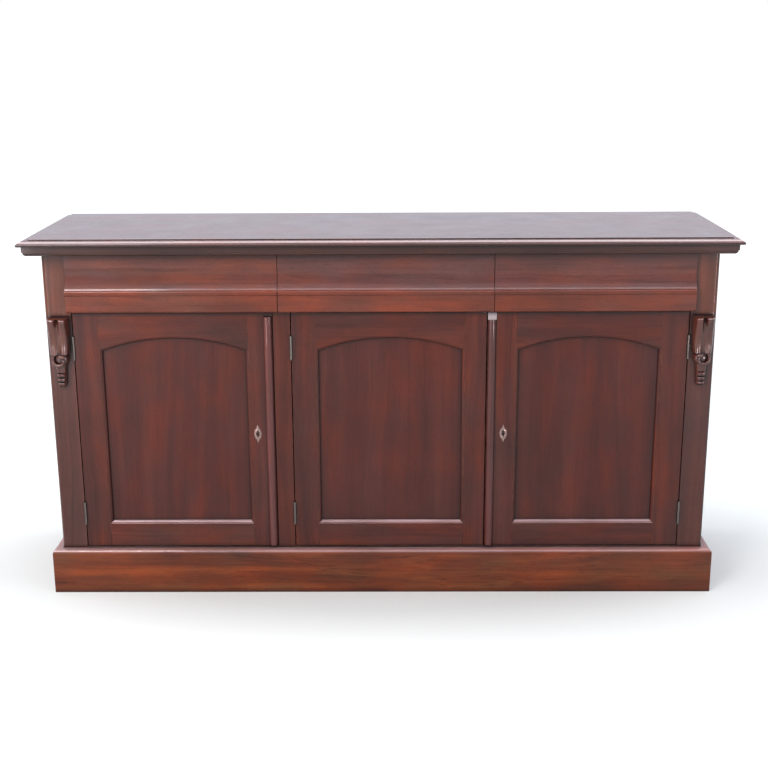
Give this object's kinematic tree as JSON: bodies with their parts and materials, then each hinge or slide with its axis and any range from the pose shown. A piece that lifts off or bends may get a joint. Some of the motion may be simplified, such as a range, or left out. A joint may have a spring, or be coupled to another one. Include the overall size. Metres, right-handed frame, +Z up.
{
  "type": "chiffonier",
  "caption": "Mahogany chiffonier with overlay frieze drawers above arched-panel doors, carved corbels, a moulded top and a plinth base.",
  "frame": {"origin": "on the floor, under the middle of the moulded top's rectangle", "axes": "+X to the right along the front, +Y to the back, +Z up"},
  "size_m": [1.8, 0.49, 0.96],
  "materials": {
    "polished_mahogany": "dark red-brown French polish with a soft gloss",
    "carcass_wood": "thinly stained and waxed inside wood",
    "aged_brass": "dulled brass",
    "lock_steel": "dull steel",
    "escutcheon_metal": "tarnished white metal",
    "felt": "pale felt"
  },
  "bodies": {
    "carcass": {"back_boards": "carcass_wood", "bolt_keeper": "aged_brass", "bottom_board": "carcass_wood", "corbel_left": "polished_mahogany", "corbel_right": "polished_mahogany", "cornice_front": "polished_mahogany", "cornice_returns": "polished_mahogany", "door_stops": "carcass_wood", "drawer_deck": "carcass_wood", "drawer_dividers": "carcass_wood", "drawer_guides": "carcass_wood", "drawer_rail": "polished_mahogany", "hinge_leaves_frame": "aged_brass", "hinge_pins": "aged_brass", "muntin": "polished_mahogany", "partition": "carcass_wood", "plinth_bearers": "carcass_wood", "plinth_front": "polished_mahogany", "plinth_returns": "polished_mahogany", "post_left": "polished_mahogany", "post_right": "polished_mahogany", "shelf_cleats": "carcass_wood", "shelves": "carcass_wood", "side_left": "polished_mahogany", "side_right": "polished_mahogany", "top_board": "polished_mahogany", "top_rails": "carcass_wood"},
    "drawer_left": {"drawer_front_left": "polished_mahogany", "drawer_box_left": "carcass_wood", "drawer_bottom_left": "carcass_wood"},
    "drawer_centre": {"drawer_front_centre": "polished_mahogany", "drawer_box_centre": "carcass_wood", "drawer_bottom_centre": "carcass_wood"},
    "drawer_right": {"drawer_front_right": "polished_mahogany", "drawer_box_right": "carcass_wood", "drawer_bottom_right": "carcass_wood"},
    "door_left": {"door_stiles_left": "polished_mahogany", "door_rails_left": "polished_mahogany", "door_panel_left": "polished_mahogany", "hinge_leaves_left": "aged_brass", "astragal_left": "polished_mahogany", "escutcheon_left": "escutcheon_metal", "lock_case_left": "lock_steel"},
    "door_centre": {"door_stiles_centre": "polished_mahogany", "door_rails_centre": "polished_mahogany", "door_panel_centre": "polished_mahogany", "hinge_leaves_centre": "aged_brass", "bolt_barrels": "aged_brass"},
    "door_right": {"door_stiles_right": "polished_mahogany", "door_rails_right": "polished_mahogany", "door_panel_right": "polished_mahogany", "hinge_leaves_right": "aged_brass", "astragal_right": "polished_mahogany", "escutcheon_right": "escutcheon_metal", "lock_case_right": "lock_steel", "buffer_pad": "felt"},
    "lock_bolt_left": {"lock_bolt_left": "aged_brass"},
    "lock_bolt_right": {"lock_bolt_right": "aged_brass"},
    "bolt_rod_upper": {"bolt_rod_upper": "aged_brass"},
    "bolt_rod_lower": {"bolt_rod_lower": "aged_brass"}
  },
  "joints": [
    {"name": "door_left_hinge", "type": "hinge", "parent": "carcass", "child": "door_left", "pos_m": [-0.7888, -0.182, 0.4455], "axis": [0, 0, -1], "range_deg": [0, 100]},
    {"name": "door_centre_hinge", "type": "hinge", "parent": "carcass", "child": "door_centre", "pos_m": [-0.2298, -0.182, 0.4455], "axis": [0, 0, -1], "range_deg": [0, 110]},
    {"name": "door_right_hinge", "type": "hinge", "parent": "carcass", "child": "door_right", "pos_m": [0.7888, -0.182, 0.4455], "axis": [0, 0, 1], "range_deg": [0, 100]},
    {"name": "drawer_left_slide", "type": "slide", "parent": "carcass", "child": "drawer_left", "axis": [0, -1, 0], "range_m": [0, 0.3]},
    {"name": "drawer_centre_slide", "type": "slide", "parent": "carcass", "child": "drawer_centre", "axis": [0, -1, 0], "range_m": [0, 0.3]},
    {"name": "drawer_right_slide", "type": "slide", "parent": "carcass", "child": "drawer_right", "axis": [0, -1, 0], "range_m": [0, 0.3]},
    {"name": "lock_bolt_left_slide", "type": "slide", "parent": "door_left", "child": "lock_bolt_left", "axis": [1, 0, 0], "range_m": [0, 0.008]},
    {"name": "lock_bolt_right_slide", "type": "slide", "parent": "door_right", "child": "lock_bolt_right", "axis": [-1, 0, 0], "range_m": [0, 0.008]},
    {"name": "bolt_rod_upper_slide", "type": "slide", "parent": "door_centre", "child": "bolt_rod_upper", "axis": [0, 0, 1], "range_m": [0, 0.01]},
    {"name": "bolt_rod_lower_slide", "type": "slide", "parent": "door_centre", "child": "bolt_rod_lower", "axis": [0, 0, -1], "range_m": [0, 0.01]}
  ]
}
